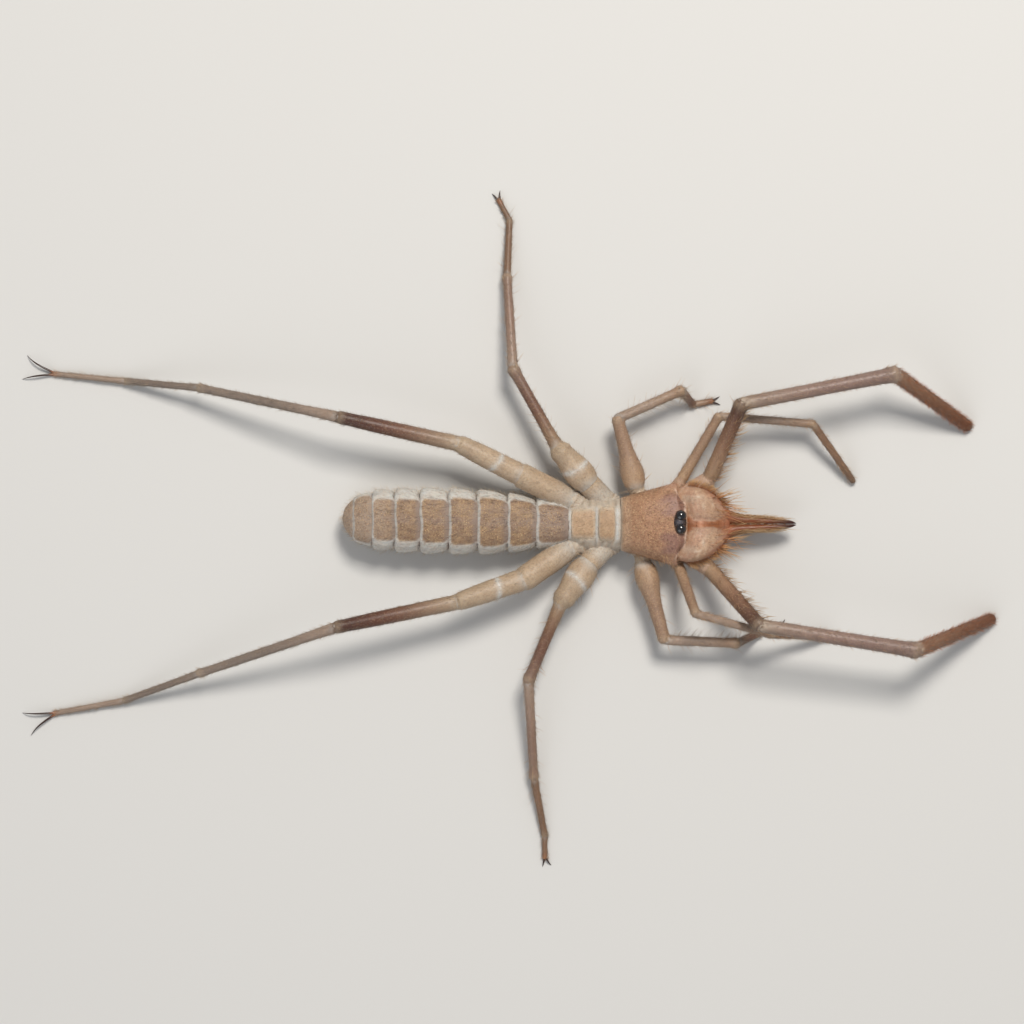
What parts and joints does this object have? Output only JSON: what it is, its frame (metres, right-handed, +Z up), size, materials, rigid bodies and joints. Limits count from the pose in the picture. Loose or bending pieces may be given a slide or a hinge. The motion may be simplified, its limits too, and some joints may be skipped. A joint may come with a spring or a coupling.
{
  "type": "camel spider",
  "caption": "Life-size still camel spider with long jaws, ringed abdomen and spread legs, resting on its feet.",
  "frame": {"origin": "middle of the footprint on the floor that the feet rest on", "axes": "+X the way the animal faces, +Y its left side, +Z up"},
  "size_m": [0.1024, 0.0706, 0.0089],
  "materials": {
    "shell": "finely speckled tan shell with a soft sheen",
    "membrane": "pale wrinkled soft skin",
    "abdomen": "brown plates between cream-white folds",
    "jaw": "reddish brown horn with golden bristles",
    "palp": "mauve brown, rust red at the tip, bristly",
    "leg": "tan with a darker band above the knee",
    "eye": "polished black"
  },
  "bodies": {
    "root": {"head_shield": "shell", "neck_plate": "shell", "rear_plate": "shell", "chest": "membrane", "eye_left": "eye", "eye_right": "eye", "chelicera_left": "jaw", "chelicera_right": "jaw", "lower_finger_left": "jaw", "lower_finger_right": "jaw", "abdomen_1": "abdomen", "abdomen_2": "abdomen", "abdomen_3": "abdomen", "abdomen_4": "abdomen", "abdomen_5": "abdomen", "abdomen_6": "abdomen", "abdomen_7": "abdomen", "abdomen_8": "abdomen", "abdomen_9": "abdomen", "pedipalp_left_femur": "palp", "pedipalp_left_tibia": "palp", "pedipalp_left_tarsus": "palp", "pedipalp_right_femur": "palp", "pedipalp_right_tibia": "palp", "pedipalp_right_tarsus": "palp", "leg_1_left_femur": "leg", "leg_1_left_tibia": "leg", "leg_1_left_tarsus": "leg", "leg_1_right_femur": "leg", "leg_1_right_tibia": "leg", "leg_1_right_tarsus": "leg", "leg_2_left_base": "leg", "leg_2_left_femur": "leg", "leg_2_left_tibia": "leg", "leg_2_left_foot": "leg", "leg_2_right_base": "leg", "leg_2_right_femur": "leg", "leg_2_right_tibia": "leg", "leg_2_right_foot": "leg", "leg_3_left_base": "leg", "leg_3_left_femur": "leg", "leg_3_left_tibia": "leg", "leg_3_left_foot": "leg", "leg_3_right_base": "leg", "leg_3_right_femur": "leg", "leg_3_right_tibia": "leg", "leg_3_right_foot": "leg", "leg_4_left_base": "leg", "leg_4_left_thigh": "leg", "leg_4_left_femur": "leg", "leg_4_left_tibia": "leg", "leg_4_left_foot": "leg", "leg_4_right_base": "leg", "leg_4_right_thigh": "leg", "leg_4_right_femur": "leg", "leg_4_right_tibia": "leg", "leg_4_right_foot": "leg"}
  },
  "joints": []
}
